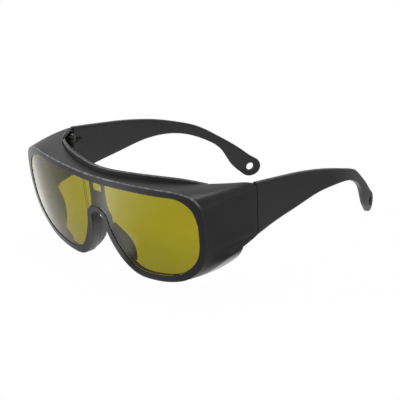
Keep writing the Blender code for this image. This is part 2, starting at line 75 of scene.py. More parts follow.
def outline_rows():
    """Half of the lens outline: edge x and z, rim width, flare of the wall behind in x and z, wall depth."""
    w, h, b, top = lens_half, lens_height, lens_bottom, lens_top
    flare, droop, lift = joint_half - lens_half - rim_width, 1.2, 3.0
    notch, foot, dip, extra, corner = b + notch_height, notch_foot, 1.2, 0.8, 2.0
    return np.array([
        (0.0, top - dip, rim_width, 0.0, 0.0, 5.8),
        (0.335 * w, top - 0.6 * dip, rim_width, 0.0, 0.0, 8.6),
        (0.628 * w, top - 0.2 * dip, rim_width, 0.0, 0.0, 13.5),
        (0.837 * w, top, rim_width, 0.35 * flare, 0.0, 21.2),
        (0.953 * w, b + 0.916 * h, rim_width + corner, flare + droop, lift, 36.5),
        (0.996 * w, b + 0.776 * h, rim_width + 0.2 * corner, flare, lift, joint_depth),
        (1.000 * w, b + 0.636 * h, rim_width, flare, 0.8 * lift, joint_depth),
        (0.983 * w, b + 0.436 * h, rim_width, flare + droop, lift, joint_depth - 15.5),
        (0.927 * w, b + 0.266 * h, rim_width, 8.0, 4.6, 13.0),
        (0.795 * w, b + 0.100 * h, rim_width, 2.4, 0.25 * lift, 1.2 * rim_depth),
        (0.628 * w, b + 0.020 * h, rim_width, 0.0, 0.0, rim_depth),
        (foot + 0.16 * (w - foot), b, rim_width, 0.0, 0.0, rim_depth),
        (foot, b + 0.04 * notch_height, rim_width + 0.5 * extra, 0.0, 0.0, rim_depth),
        (0.77 * foot, b + 0.17 * notch_height, rim_width + extra, 0.0, 0.0, rim_depth),
        (0.56 * foot, b + 0.38 * notch_height, rim_width + extra, 0.0, 0.0, rim_depth),
        (0.39 * foot, b + 0.65 * notch_height, rim_width + 0.4 * extra, 0.0, 0.0, rim_depth),
        (notch_top_half, notch - 3.4, rim_width - 0.75 * extra, 0.0, 0.0, rim_depth),
        (0.0, notch, rim_width - extra, 0.0, 0.0, rim_depth),
    ])


def curve_through(padded, steps):
    """Points on a smooth curve through all rows but the first and last, which only steer its ends."""
    curve = []
    for a, b, c, d in zip(padded, padded[1:], padded[2:], padded[3:]):
        for t in np.arange(0, 1, 1 / steps):
            bend = (2 * a - 5 * b + 4 * c - d) * t + (3 * b - a - 3 * c + d) * t * t
            curve.append(b + 0.5 * t * (c - a + bend))
    curve.append(padded[-2])
    return np.array(curve)


class Cuts:
    """Cuts right round the lens outline, from the top centre past +X, all worked out at once."""

    def __init__(self, half_count):
        rows, flip = outline_rows(), np.array([-1, 1, 1, -1, 1, 1])
        curve = curve_through(np.vstack([rows[1] * flip, rows, rows[-2] * flip]), 60)
        travelled = np.concatenate([[0], np.cumsum(np.hypot(*np.diff(curve[:, :2], axis=0).T))])
        even = np.linspace(0, travelled[-1], half_count + 1)
        half = np.stack([np.interp(even, travelled, column) for column in curve.T], axis=1)
        loop = np.vstack([half, half[-2:0:-1] * flip])
        travel = np.roll(loop[:, :2], -1, axis=0) - np.roll(loop[:, :2], 1, axis=0)
        travel /= np.linalg.norm(travel, axis=1)[:, None]
        self.line, self.rim = loop[:, :2], loop[:, 2]
        self.normal = np.stack([-travel[:, 1], travel[:, 0]], axis=1)
        self.edge = self.line + self.rim[:, None] * self.normal
        rim_y = lens_face_y(*self.edge.T)
        self.front_y = rim_y + rim_round - rim_proud
        self.rear_y = np.minimum(rim_y + loop[:, 5], joint_y)
        rear_x = np.clip(self.edge[:, 0] + loop[:, 3], -joint_half, joint_half)
        self.rear = np.stack([rear_x, np.minimum(self.edge[:, 1] + loop[:, 4], roof_top)], axis=1)
        self.bow = 1 + (wall_bow - 1) * np.maximum(1 + 1.3 * np.minimum(self.normal[:, 1], 0), 0)

    def pick(self, chosen):
        """The same cuts, but only the chosen ones, in the order given."""
        part = object.__new__(Cuts)
        for name in ("line", "rim", "normal", "edge", "front_y", "rear_y", "rear", "bow"):
            setattr(part, name, getattr(self, name)[chosen])
        return part

    def on_rim(self, outward, depth):
        """Points outward from the lens edge, at a depth behind the lens's front face."""
        x, z = (self.line + np.multiply(outward, self.normal.T).T).T
        return np.stack([x, lens_face_y(x, z) + depth, z], axis=1)

    def on_wall(self, y, inward=0.0):
        """Points on the wall behind the rim, or inward from its outer face."""
        y = np.broadcast_to(y, self.rear_y.shape)
        share = np.clip((y - self.front_y) / (self.rear_y - self.front_y), 0, 1)
        bowed = 1 - (1 - share) ** self.bow
        spot = self.edge + (self.rear - self.edge) * bowed[:, None] - np.multiply(inward, self.normal.T).T
        return np.stack([spot[:, 0], y, spot[:, 1]], axis=1)


def ease(cuts, radii, steps=5):
    """Rounds the corners of many closed cuts at once, and says how much of a rounded edge each point is."""
    count, points, edge = cuts.shape[1], [], []
    for i, radius in enumerate(radii):
        here = cuts[:, i]
        if radius is None:
            points.append(here)
            edge.append(0.0)
            continue
        back, on = cuts[:, i - 1] - here, cuts[:, (i + 1) % count] - here
        back *= (radius / np.linalg.norm(back, axis=1))[:, None]
        on *= (radius / np.linalg.norm(on, axis=1))[:, None]
        for t in np.linspace(0, 1, steps + 1):
            points.append(here + (1 - t) ** 2 * back + t * t * on)
            edge.append(math.sin(math.pi * t))
    return np.stack(points, axis=1), np.array(edge)


def loft(cuts, closed=False):
    """Points and faces of a skin through closed cuts, with end caps unless the run is closed."""
    rows, size = cuts.shape[:2]
    i, j = np.meshgrid(np.arange(rows if closed else rows - 1), np.arange(size), indexing="ij")
    here, there, k = i * size, (i + 1) % rows * size, (j + 1) % size
    faces = np.stack([here + j, here + k, there + k, there + j], axis=-1).reshape(-1, 4).tolist()
    if not closed:
        faces += [list(range(size)), list(range((rows - 1) * size, rows * size))]
    return cuts.reshape(-1, 3), faces


def tidy_mesh(obj, sharp=38):
    """Merges doubles, turns the faces outward and shades all but sharp edges smooth."""
    body = bmesh.new()
    body.from_mesh(obj.data)
    bmesh.ops.remove_doubles(body, verts=body.verts, dist=1e-7)
    bmesh.ops.recalc_face_normals(body, faces=body.faces)
    body.to_mesh(obj.data)
    body.free()
    obj.data.shade_smooth()
    obj.data.set_sharp_from_angle(angle=math.radians(sharp))


def add_piece(name, points, faces, material, edge=None):
    """A named mesh in metres with its object at the origin; edge marks where handling rubs it and where a
    highlight is painted.
    """
    mesh = bpy.data.meshes.new(name)
    mesh.from_pydata((np.asarray(points) * MM).tolist(), [], faces)
    worn = mesh.attributes.new("edge", "FLOAT", "POINT")
    if edge is not None:
        worn.data.foreach_set("value", np.resize(np.asarray(edge, np.float32), len(points)))
    mesh.materials.append(material)
    obj = bpy.data.objects.new(name, mesh)
    bpy.context.scene.collection.objects.link(obj)
    tidy_mesh(obj)
    return obj


def put(tree, kind, inputs=None, **settings):
    """Adds a node; each input is a value or the socket that feeds it."""
    made = tree.nodes.new(kind)
    for key, value in settings.items():
        setattr(made, key, value)
    for key, value in (inputs or {}).items():
        if isinstance(value, bpy.types.NodeSocket):
            tree.links.new(value, made.inputs[key])
        else:
            made.inputs[key].default_value = value
    return made


def math_node(tree, operation, a, b=0.0, c=0.0):
    """One sum of up to three values or sockets."""
    return put(tree, "ShaderNodeMath", {0: a, 1: b, 2: c}, operation=operation).outputs[0]


def spread(tree, value, low, high, to_low, to_high):
    """A value moved from one range to another and held inside it."""
    ranges = {"Value": value, "From Min": low, "From Max": high, "To Min": to_low, "To Max": to_high}
    return put(tree, "ShaderNodeMapRange", ranges).outputs[0]


def blend_colours(tree, share, first, second):
    """The first colour where the share is 0, the second where it is 1."""
    return put(tree, "ShaderNodeMix", {0: share, 6: first, 7: second}, data_type="RGBA").outputs[2]


def moulded_skin_group():
    """Spark-eroded mould grain, slow drift of tone, and edges paler and smoother: rubbed by handling, and on
    the frame and brow also a painted highlight.
    """
    tree = bpy.data.node_groups.new("moulded_skin", "ShaderNodeTree")
    for way, name, kind in (("INPUT", "Colour", "Color"), ("INPUT", "Rubbed And Highlight Colour", "Color"),
                            ("INPUT", "Roughness", "Float"), ("INPUT", "Grain Size", "Float"),
                            ("OUTPUT", "Colour", "Color"), ("OUTPUT", "Roughness", "Float"),
                            ("OUTPUT", "Height", "Float")):
        tree.interface.new_socket(name, in_out=way, socket_type=f"NodeSocket{kind}")
    given = put(tree, "NodeGroupInput").outputs
    place = put(tree, "ShaderNodeTexCoord").outputs["Object"]
    fine = math_node(tree, "DIVIDE", 1.0, given["Grain Size"])
    grain = put(tree, "ShaderNodeTexNoise", {"Vector": place, "Scale": fine, "Detail": 2.0}).outputs[0]
    coarse = math_node(tree, "MULTIPLY", fine, 0.6)
    pits = put(tree, "ShaderNodeTexVoronoi", {"Vector": place, "Scale": coarse}).outputs["Distance"]
    height = math_node(tree, "MULTIPLY_ADD", pits, 0.5, grain)
    drift = put(tree, "ShaderNodeTexNoise", {"Vector": place, "Scale": 42.0, "Detail": 3.0}).outputs[0]
    tone = put(tree, "ShaderNodeHueSaturation",
               {"Value": spread(tree, drift, 0.3, 0.7, 0.86, 1.14), "Color": given["Colour"]}).outputs[0]
    rub_and_highlight = put(tree, "ShaderNodeAttribute", attribute_name="edge").outputs["Fac"]
    scuff = put(tree, "ShaderNodeTexNoise", {"Vector": place, "Scale": 380.0, "Detail": 4.0}).outputs[0]
    wear_and_highlight = math_node(tree, "MULTIPLY", rub_and_highlight, spread(tree, scuff, 0.38, 0.62, 0.25, 1.0))
    colour = blend_colours(tree, wear_and_highlight, tone, given["Rubbed And Highlight Colour"])
    rough = math_node(tree, "SUBTRACT", given["Roughness"], 0.08)
    rough = math_node(tree, "MULTIPLY_ADD", drift, 0.16, rough)
    rough = math_node(tree, "MULTIPLY_ADD", wear_and_highlight, -0.07, rough)
    put(tree, "NodeGroupOutput", {"Colour": colour, "Roughness": rough, "Height": height})
    return tree


moulded_skin = moulded_skin_group()


def plastic(name, colour, rub_and_highlight, roughness, grain, depth, specular):
    """Moulded plastic: the shared skin with its own colours, roughness and grain."""
    material = bpy.data.materials.new(name)
    material.use_nodes = True
    tree = material.node_tree
    shader = tree.nodes["Principled BSDF"]
    shader.inputs["Specular IOR Level"].default_value = specular
    skin = put(tree, "ShaderNodeGroup", node_tree=moulded_skin)
    for key, value in (("Colour", (*colour, 1)), ("Rubbed And Highlight Colour", (*rub_and_highlight, 1)), ("Roughness", roughness),
                       ("Grain Size", grain * MM)):
        skin.inputs[key].default_value = value
    bump = put(tree, "ShaderNodeBump", {"Height": skin.outputs["Height"], "Strength": 0.35,
                                        "Distance": depth * MM})
    tree.links.new(skin.outputs["Colour"], shader.inputs["Base Color"])
    tree.links.new(skin.outputs["Roughness"], shader.inputs["Roughness"])
    tree.links.new(bump.outputs["Normal"], shader.inputs["Normal"])
    return material


# The frame's pale rubbed colour is mostly a painted highlight on its edges.
frame_black = plastic("black_frame_nylon", (0.014, 0.014, 0.015), (0.27, 0.27, 0.273),
                      roughness=0.40, grain=0.35, depth=0.02, specular=0.42)
cuts = Cuts(around_half)
corner_y = cuts.on_rim(cuts.rim - wall, ledge_rear)[:, 1]
section = [cuts.on_rim(lens_gap, -rim_proud), cuts.on_rim(cuts.rim, -rim_proud)]
section += [cuts.on_wall(cuts.front_y + share * (cuts.rear_y - cuts.front_y))
            for share in (0.07, 0.15, 0.25, 0.35, 0.45, 0.55, 0.66, 0.78, 0.9, 1.0)]
section += [cuts.on_wall(corner_y + share * (cuts.rear_y - corner_y), wall)
            for share in (1.0, 0.7, 0.45, 0.2, 0.0)]
section += [cuts.on_rim(-ledge_width, ledge_rear), cuts.on_rim(-ledge_width, seat_depth),
            cuts.on_rim(lens_gap, seat_depth)]
rounds = [0.2, rim_round] + [None] * 9 + [0.45, 0.45] + [None] * 3 + [0.3, 0.3, 0.15, None]
skin, edge = ease(np.stack(section, axis=1), rounds, 6)
# Painted highlight: edges that face up get the most pale rubbed colour; the rest keep a trace of it as wear.
facing_up_highlight = np.clip((cuts.normal[:, 1] - highlight_start) / highlight_span, rub_least, 1)
edge = np.outer(facing_up_highlight, edge).reshape(-1)
front_skin = add_piece("frame_rim_roof_and_shields", *loft(skin, closed=True), frame_black, edge)


# Centre bar: part of the same moulding, let into the ledge behind the lens, with a small window near its top.
# It is drawn as a ring of cuts from the window out to the bar's edge.
bar_front, bar_rear, bar_half, bar_flare = 3.45, 4.95, 5.7, 1.6
bar_into_notch, bar_into_roof = 2.0, 1.0
bar_low, bar_high = lens_bottom + notch_height - bar_into_notch, lens_top + bar_into_roof
window_half, window_height, window_round, window_drop = 4.2, 4.9, 1.3, 2.8
window_z = lens_top - window_drop - window_height / 2


def reach(outline, angles):
    """How far a closed outline round the origin lies from it at each angle."""
    outline = np.asarray(outline, float)
    closed = np.vstack([outline, outline[:1]])
    steps = np.linspace(0, 1, 60, endpoint=False)[:, None]
    dense = np.vstack([a + steps * (b - a) for a, b in zip(closed, closed[1:])])
    turn = np.arctan2(dense[:, 1], dense[:, 0])
    order = np.argsort(turn)
    return np.interp(angles, turn[order], np.hypot(*dense.T)[order], period=2 * math.pi)


def arc(centre, radius, start, stop, steps):
    """Points on an arc, both ends included."""
    turn = np.radians(np.linspace(start, stop, steps + 1))
    return np.stack([centre[0] + radius * np.cos(turn), centre[1] + radius * np.sin(turn)], axis=1)


turns = np.linspace(0, 2 * math.pi, 144, endpoint=False)
heights = np.linspace(bar_low, bar_high, 25)
middle = (2 * heights - bar_low - bar_high) / (bar_high - bar_low)
side_x = bar_half + bar_flare * middle ** 4
bar_outline = np.vstack([np.stack([side_x, heights - window_z], axis=1),
                         np.stack([-side_x, heights - window_z], axis=1)[::-1]])
corner_x, corner_z = window_half - window_round, window_height / 2 - window_round
window_outline = np.vstack([arc((corner_x, corner_z), window_round, 0, 90, 8),
                            arc((-corner_x, corner_z), window_round, 90, 180, 8),
                            arc((-corner_x, -corner_z), window_round, 180, 270, 8),
                            arc((corner_x, -corner_z), window_round, 270, 360, 8)])
outer_reach, window_reach = reach(bar_outline, turns), reach(window_outline, turns)


def bar_point(share, depth):
    """Points part of the way from the window's edge to the bar's edge."""
    distance = window_reach + share * (outer_reach - window_reach)
    x, z = distance * np.cos(turns), window_z + distance * np.sin(turns)
    return np.stack([x, lens_face_y(x, z) + depth, z], axis=1)


ring = [bar_point(share, bar_front) for share in (1.0, 0.6, 0.3, 0.0)]
ring += [bar_point(share, bar_rear) for share in (0.0, 0.3, 0.6, 1.0)]
skin, edge = ease(np.stack(ring, axis=1), [0.2, None, None, 0.3, 0.2, None, None, 0.2])
centre_bar = add_piece("frame_centre_bar", *loft(skin, closed=True), frame_black, edge)


# Frame knuckles: two barrels on each side, moulded on arms inside the shield wall, bored for the hinge screw.
# One is drawn, then stacked down the hinge and mirrored to the other side.
hinge_x, hinge_y = 73.8, -44.1
knuckle_radius, knuckle_height, knuckle_step = 2.4, 3.2, 3.55
screw_low, screw_high = (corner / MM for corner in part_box("hinge_screw_right"))
knuckle_top = screw_low.z + 2 * knuckle_step + knuckle_height
bore_radius = 1.3


def knuckle(name, plan, high, material):
    """A bored block over a plan that the hinge axis sees all of."""
    outer = reach(np.asarray(plan) - (hinge_x, hinge_y), turns)
    ring = []
    for distance, z in ((outer, high), (bore_radius, high), (bore_radius, high - knuckle_height),
                        (outer, high - knuckle_height)):
        ring.append(np.stack([hinge_x + distance * np.cos(turns), hinge_y + distance * np.sin(turns),
                              np.full(len(turns), z)], axis=1))
    skin, edge = ease(np.stack(ring, axis=1), [0.3, 0.15, 0.15, 0.3], 4)
    return add_piece(name, *loft(skin, closed=True), material, edge)


def keep_shape(obj):
    """Makes what an object's modifiers give its plain mesh."""
    graph = bpy.context.evaluated_depsgraph_get()
    shape = obj.evaluated_get(graph)
    mesh = bpy.data.meshes.new_from_object(shape, preserve_all_data_layers=True, depsgraph=graph)
    obj.modifiers.clear()
    obj.data = mesh
    tidy_mesh(obj)


def grow(obj, tree, values):
    """Runs a geometry tree on an object and keeps the result."""
    modifier = obj.modifiers.new(tree.name, "NODES")
    modifier.node_group = tree
    for item in tree.interface.items_tree:
        if item.item_type == "SOCKET" and item.in_out == "INPUT" and item.name in values:
            modifier[item.identifier] = values[item.name]
    keep_shape(obj)


def new_tree(name, sizes):
    """An empty geometry tree with named inputs; gives the tree and its input sockets."""
    tree = bpy.data.node_groups.new(name, "GeometryNodeTree")
    tree.interface.new_socket("Geometry", in_out="INPUT", socket_type="NodeSocketGeometry")
    for key, kind in sizes.items():
        tree.interface.new_socket(key, in_out="INPUT", socket_type=kind)
    tree.interface.new_socket("Geometry", in_out="OUTPUT", socket_type="NodeSocketGeometry")
    return tree, put(tree, "NodeGroupInput").outputs


def joined(tree, *sources):
    """Several geometries as one."""
    both = put(tree, "GeometryNodeJoinGeometry")
    for source in sources:
        tree.links.new(source, both.inputs[0])
    return both.outputs[0]


def close_tree(tree, geometry, material):
    """Ends a geometry tree: all of it made real and given its material."""
    real = put(tree, "GeometryNodeRealizeInstances", {"Geometry": geometry}).outputs[0]
    coloured = put(tree, "GeometryNodeSetMaterial", {"Geometry": real, "Material": material}).outputs[0]
    put(tree, "NodeGroupOutput", {"Geometry": coloured})
    return tree


def hinge_stack_tree():
    """Copies one knuckle down the hinge axis and mirrors the stack to the other side."""
    tree, given = new_tree("hinge_stack", {"Count": "NodeSocketInt", "Step": "NodeSocketFloat",
                                           "Material": "NodeSocketMaterial"})
    step_down = math_node(tree, "MULTIPLY", given["Step"], -1.0)
    down = put(tree, "ShaderNodeCombineXYZ", {"Z": step_down}).outputs[0]
    line = put(tree, "GeometryNodeMeshLine", {"Count": given["Count"], "Offset": down}).outputs[0]
    stack = put(tree, "GeometryNodeInstanceOnPoints",
                {"Points": line, "Instance": given["Geometry"]}).outputs[0]
    real = put(tree, "GeometryNodeRealizeInstances", {"Geometry": stack}).outputs[0]
    mirrored = put(tree, "GeometryNodeTransform", {"Geometry": real, "Scale": (-1, 1, 1)}).outputs[0]
    turned = put(tree, "GeometryNodeFlipFaces", {"Mesh": mirrored}).outputs[0]
    return close_tree(tree, joined(tree, real, turned), given["Material"])


arm_x = joint_half - wall / 2
plan = np.vstack([arc((hinge_x, hinge_y), knuckle_radius, 90, 270, 24),
                  [(arm_x, hinge_y - knuckle_radius), (arm_x, hinge_y + knuckle_radius)]])
frame_knuckles = knuckle("frame_hinge_knuckles", plan, knuckle_top, frame_black)
grow(frame_knuckles, hinge_stack_tree(), {"Count": 2, "Step": 2 * knuckle_step * MM, "Material": frame_black})
for piece in (front_skin, centre_bar, frame_knuckles):
    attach(piece, "front")
    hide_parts("front_frame")


# Filter lens: one cast sheet of olive filter plastic, bent to a shallow barrel and dropped into the rebate
# from the front. A flat blank is cut to the outline, then bent and given its thickness by rule.
lens_thickness, tint_line_offset, shade_foot, shade_top = 2.5, 8.2, 6.0, 34.0


def barrel_sheet_tree():
    """Bends a flat blank to the barrel and thickens it backwards."""
    sizes = ("Front", "Top", "Radius Across", "Radius Upright", "Tilt", "Thickness")
    kinds = dict.fromkeys(sizes, "NodeSocketFloat")
    tree, given = new_tree("barrel_sheet", kinds | {"Material": "NodeSocketMaterial"})
    place = put(tree, "ShaderNodeSeparateXYZ", {0: put(tree, "GeometryNodeInputPosition").outputs[0]}).outputs
    drop = math_node(tree, "SUBTRACT", given["Top"], place["Z"])
    across = math_node(tree, "DIVIDE", math_node(tree, "MULTIPLY", place["X"], place["X"]),
                       math_node(tree, "MULTIPLY", given["Radius Across"], 2.0))
    upright = math_node(tree, "DIVIDE", math_node(tree, "MULTIPLY", drop, drop),
                        math_node(tree, "MULTIPLY", given["Radius Upright"], 2.0))
    depth = math_node(tree, "ADD", math_node(tree, "ADD", given["Front"], across),
                      math_node(tree, "MULTIPLY_ADD", drop, given["Tilt"], upright))
    bent = put(tree, "ShaderNodeCombineXYZ", {"X": place["X"], "Y": depth, "Z": place["Z"]}).outputs[0]
    sheet = put(tree, "GeometryNodeSetPosition", {"Geometry": given["Geometry"], "Position": bent}).outputs[0]
    behind = put(tree, "GeometryNodeExtrudeMesh", {"Mesh": sheet, "Offset": (0, 1, 0),
                                                   "Offset Scale": given["Thickness"], "Individual": False})
    front = put(tree, "GeometryNodeFlipFaces", {"Mesh": sheet}).outputs[0]
    both = joined(tree, front, behind.outputs[0])
    welded = put(tree, "GeometryNodeMergeByDistance", {"Geometry": both, "Distance": 1e-6}).outputs[0]
    return close_tree(tree, welded, given["Material"])


def filter_plastic():
    """Clear olive sheet with painted shade that darkens it below, faint wipe marks and a fine dark line drawn
    in the tint each side of the nose.
    """
    material = bpy.data.materials.new("olive_filter_sheet")
    material.use_nodes = True
    tree = material.node_tree
    shader = tree.nodes["Principled BSDF"]
    shader.inputs["IOR"].default_value = 1.45
    shader.inputs["Transmission Weight"].default_value = 1.0
    place = put(tree, "ShaderNodeTexCoord").outputs["Object"]
    drift = put(tree, "ShaderNodeTexNoise", {"Vector": place, "Scale": 18.0, "Detail": 2.0}).outputs[0]
    tint = blend_colours(tree, spread(tree, drift, 0.35, 0.65, 0.0, 1.0), (0.296, 0.253, 0.004, 1),
                         (0.320, 0.274, 0.005, 1))
    spot = put(tree, "ShaderNodeSeparateXYZ", {0: place}).outputs
    # Painted shade: the tint darkens towards the foot of the lens.
    painted_shade_below = spread(tree, spot["Z"], shade_foot * MM, shade_top * MM, 1.0, 0.0)
    tint = blend_colours(tree, painted_shade_below, tint, (0.232, 0.200, 0.004, 1))
    # A fine dark line is drawn in the tint each side of the nose; it is not cut in the sheet.
    from_nose = math_node(tree, "ABSOLUTE", spot["X"])
    from_line = math_node(tree, "ABSOLUTE", math_node(tree, "SUBTRACT", from_nose, tint_line_offset * MM))
    line = spread(tree, from_line, 0.20 * MM, 0.45 * MM, 1.0, 0.0)
    colour = blend_colours(tree, line, tint, (0.06, 0.05, 0.002, 1))
    tree.links.new(colour, shader.inputs["Base Color"])
    wiped = put(tree, "ShaderNodeMapping", {"Vector": place, "Scale": (60.0, 60.0, 400.0)}).outputs[0]
    smear = put(tree, "ShaderNodeTexNoise", {"Vector": wiped, "Scale": 1.0, "Detail": 3.0}).outputs[0]
    tree.links.new(spread(tree, smear, 0.5, 0.75, 0.0, 0.05), shader.inputs["Roughness"])
    return material


def sheet_faces(rows, size):
    """Faces of a sheet whose points lie in rows."""
    i, j = np.meshgrid(np.arange(rows - 1), np.arange(size - 1), indexing="ij")
    corner = (i * size + j).reshape(-1)
    return np.stack([corner, corner + 1, corner + size + 1, corner + size], axis=1)


olive_filter = filter_plastic()
half_line = cuts.line[:around_half + 1]
widest = int(np.argmax(half_line[:, 0]))
upper, lower = half_line[:widest + 1], half_line[widest + 1:][::-1]
right = np.column_stack([lower[:, 0], lower[:, 1], np.interp(lower[:, 0], upper[:, 0], upper[:, 1])])
columns = np.vstack([right[:0:-1] * (-1, 1, 1), right])
shares = np.linspace(0, 1, 28)
blank = np.array([[(x, 0.0, low + share * (high - low)) for share in shares] for x, low, high in columns])
faces = sheet_faces(len(columns), len(shares)).tolist()
filter_lens = add_piece("olive_filter_lens", blank.reshape(-1, 3), faces, olive_filter)
grow(filter_lens, barrel_sheet_tree(), {
    "Front": face_y * MM, "Top": roof_top * MM, "Radius Across": barrel_across * MM,
    "Radius Upright": barrel_upright * MM, "Tilt": barrel_tilt, "Thickness": lens_thickness * MM,
    "Material": olive_filter})
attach(filter_lens, "front")
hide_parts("filter_lens")


# Brow guard: a separate upright strip of softer black plastic pressed along the rear edge of the roof. It is
# tallest at the middle and fades into the roof towards the temples.
brow_thickness, brow_edge, brow_above, brow_below, brow_sink = 2.0, 0.5, 2.6, 2.5, 0.5
brow_end_setback, fit_gap = 18.0, 0.3
brow_half = joint_half - brow_end_setback
# The strip's pale rubbed colour is mostly a painted highlight on its edges.
brow_black = plastic("black_brow_rubber", (0.022, 0.022, 0.023), (0.20, 0.20, 0.203),
                     roughness=0.50, grain=0.25, depth=0.02, specular=0.45)
chosen = np.flatnonzero((cuts.normal[:, 1] > 0.5) & (np.abs(cuts.rear[:, 0]) < brow_half))
brow = cuts.pick(chosen[np.argsort(cuts.rear[chosen, 0])])
fade = 1 - (brow.rear[:, 0] / brow_half) ** 6
top, foot = brow_sink - (brow_edge + brow_above + brow_sink) * fade, wall + brow_below * fade
near = np.maximum(brow.rear_y, brow.on_rim(brow.rim - foot, bar_rear)[:, 1]) + fit_gap
far = near + brow_thickness
section = [brow.on_wall(y, inward) for y, inward in (
    (near, foot), (near, (foot + top) / 2), (near, top), (far, top), (far, (foot + top) / 2), (far, foot))]
skin, edge = ease(np.stack(section, axis=1), [0.3, None, 0.6, 0.6, None, 0.3])
brow_guard = add_piece("brow_guard_strip", *loft(skin), brow_black, edge)
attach(brow_guard, "front")
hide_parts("brow_guard")


# Cheek guards: thin black flaps of smooth plastic tucked inside the sloping lower edge of each side shield.
# They run on behind it and close the gap to the cheek. Each is one moulding held by its tucked edge, thinned
# at its front end.
cheek_thickness, cheek_shown, cheek_shown_ends, cheek_lean, cheek_hidden = 1.2, 10.6, 1.2, -0.04, 3.0
cheek_gap, cheek_lip_gap, cheek_edge = 0.25, 0.25, 0.7
cheek_from_notch, cheek_from_joint = 18.0, 11.0
cheek_thin_end, cheek_thin_run = 0.45, 0.2
swell_scale, swell_rise, swell_fall = 13.2, 1.2, 3.2
cheek_black = plastic("black_cheek_plastic", (0.012, 0.012, 0.013), (0.03, 0.03, 0.032),
                      roughness=0.22, grain=0.5, depth=0.006, specular=0.5)
low_half = half_line[:, 1] < lens_bottom + lens_height / 2
run = np.flatnonzero(low_half & (half_line[:, 0] > notch_foot + cheek_from_notch))
flap = cuts.pick(run[cuts.rear_y[run] < joint_y - cheek_from_joint])
along = np.linspace(0, 1, len(flap.rim))
step = np.gradient(np.column_stack([flap.rear, flap.rear_y]), axis=0)
lip = flap.rear_y + cheek_lip_gap * np.hypot(1, step[:, 2] / np.hypot(step[:, 0], step[:, 1]))
swell = swell_scale * along ** swell_rise * (1 - along) ** swell_fall
shown = cheek_shown_ends + (cheek_shown - cheek_shown_ends) * swell
start = np.maximum(flap.rear_y - cheek_hidden, flap.on_rim(flap.rim - wall, ledge_rear)[:, 1] + fit_gap)
full = np.clip((1 - along) / cheek_thin_run, 0, 1)
thinned = cheek_thickness * (cheek_thin_end + (1 - cheek_thin_end) * full)
outer, inner = wall + cheek_gap, wall + cheek_gap + thinned
stop, lean = lip + shown, cheek_lean * shown
section = np.stack([flap.on_wall(y, inward) for y, inward in (
    (start, outer), (lip, outer), (lip, 0.0), (stop, lean), (stop, lean + cheek_edge),
    (lip + thinned, inner), (start, inner))], axis=1)
skin, edge = ease(section, [0.25, 0.1, 0.1, 0.25, 0.25, 0.4, 0.25], 4)
for side, end in ((1, "right"), (-1, "left")):
    cheek_guard = add_piece(f"cheek_guard_flap_{end}", *loft(skin * (side, 1, 1)), cheek_black, edge)
    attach(cheek_guard, "front")
    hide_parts(f"cheek_guard_{end}")


# Nose pads: soft dark grey rubber wings behind the edges of the nose notch, solid and a little flared so that
# they rest flat on the nose.
pad_thickness, pad_depth, pad_depth_ends, pad_flare = 2.2, 5.8, 1.2, 0.15
pad_from_top, pad_from_foot = 8.8, 5.2
pad_rubber = plastic("grey_nose_rubber", (0.045, 0.045, 0.047), (0.07, 0.07, 0.072),
                     roughness=0.52, grain=0.3, depth=0.015, specular=0.45)
low_enough = half_line[:, 1] < lens_bottom + notch_height - pad_from_top
wing = cuts.pick(np.flatnonzero((half_line[:, 0] < notch_foot - pad_from_foot) & low_enough))
swell = np.sin(math.pi * np.linspace(0, 1, len(wing.rim)) ** 0.85)
depth = pad_depth_ends + (pad_depth - pad_depth_ends) * swell
start = wing.rear_y + fit_gap
shares = (0.0, 0.25, 0.5, 0.75, 1.0)
nose_face = [wing.on_wall(start + share * depth, fit_gap + pad_flare * share * depth) for share in shares]
eye_face = [wing.on_wall(start + share * depth, fit_gap + pad_flare * share * depth + pad_thickness)
            for share in shares]
section = np.stack(nose_face + eye_face[::-1], axis=1)
skin, edge = ease(section, [0.3, None, None, None, 0.8, 0.8, None, None, None, 0.3])
for side, end in ((1, "right"), (-1, "left")):
    nose_pad = add_piece(f"nose_pad_wing_{end}", *loft(skin * (side, 1, 1)), pad_rubber, edge)
    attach(nose_pad, "front")
    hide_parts(f"nose_pad_{end}")


# Hinge screws: turned steel screws with a slotted head, one down through the three knuckles of each hinge.
# One is turned and slotted, then set at both hinges.
screw_radius, head_radius, head_height = 1.0, 1.8, 1.1
slot_width, slot_depth, slot_reach, slot_above = 0.5, 0.5, 3.0, 1.0


def turned(name, profile, material, sides=48):
    """A solid of revolution about the vertical axis through the origin."""
    turn = np.linspace(0, 2 * math.pi, sides, endpoint=False)
    rings = [np.stack([r * np.cos(turn), r * np.sin(turn), np.full(sides, z)], axis=1) for r, z in profile]
    return add_piece(name, *loft(np.stack(rings)), material)


def cut_away(body, cutter):
    """Cuts one closed mesh from another and drops the cutter."""
    modifier = body.modifiers.new("cut", "BOOLEAN")
    modifier.operation = "DIFFERENCE"
    modifier.object = cutter
    keep_shape(body)
    bpy.data.objects.remove(cutter, do_unlink=True)


